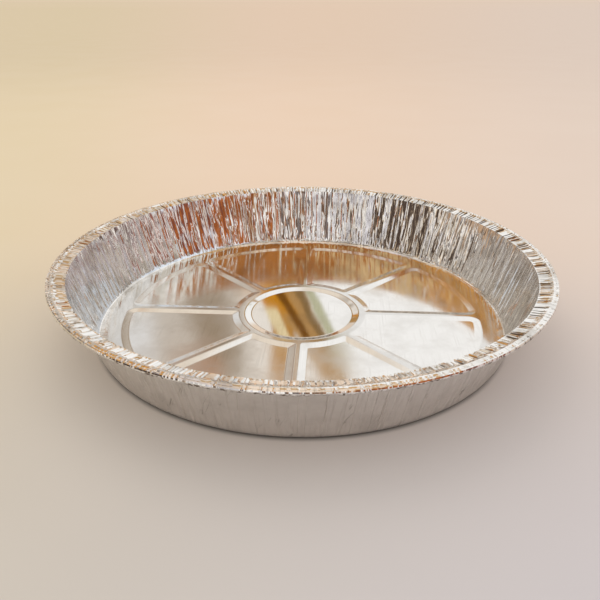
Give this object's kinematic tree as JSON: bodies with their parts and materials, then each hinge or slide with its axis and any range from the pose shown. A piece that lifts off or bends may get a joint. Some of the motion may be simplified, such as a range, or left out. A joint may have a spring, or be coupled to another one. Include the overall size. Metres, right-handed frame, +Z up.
{
  "type": "foil pie tin",
  "caption": "Shallow round pie tin of thin foil, with a gathered leaning wall, a crimped flange, a rolled edge and a base pressed into panels round a disc.",
  "frame": {"origin": "middle of the base, on the surface that the tin stands on", "axes": "+Z up through the open mouth; a spoke of the base's web lies along +X"},
  "size_m": [0.228, 0.228, 0.0325],
  "materials": {
    "foil": "bright rolled foil, mirror-like on the pressed base and satin on the outside of the wall"
  },
  "bodies": {
    "root": {"tin": "foil"}
  },
  "joints": []
}
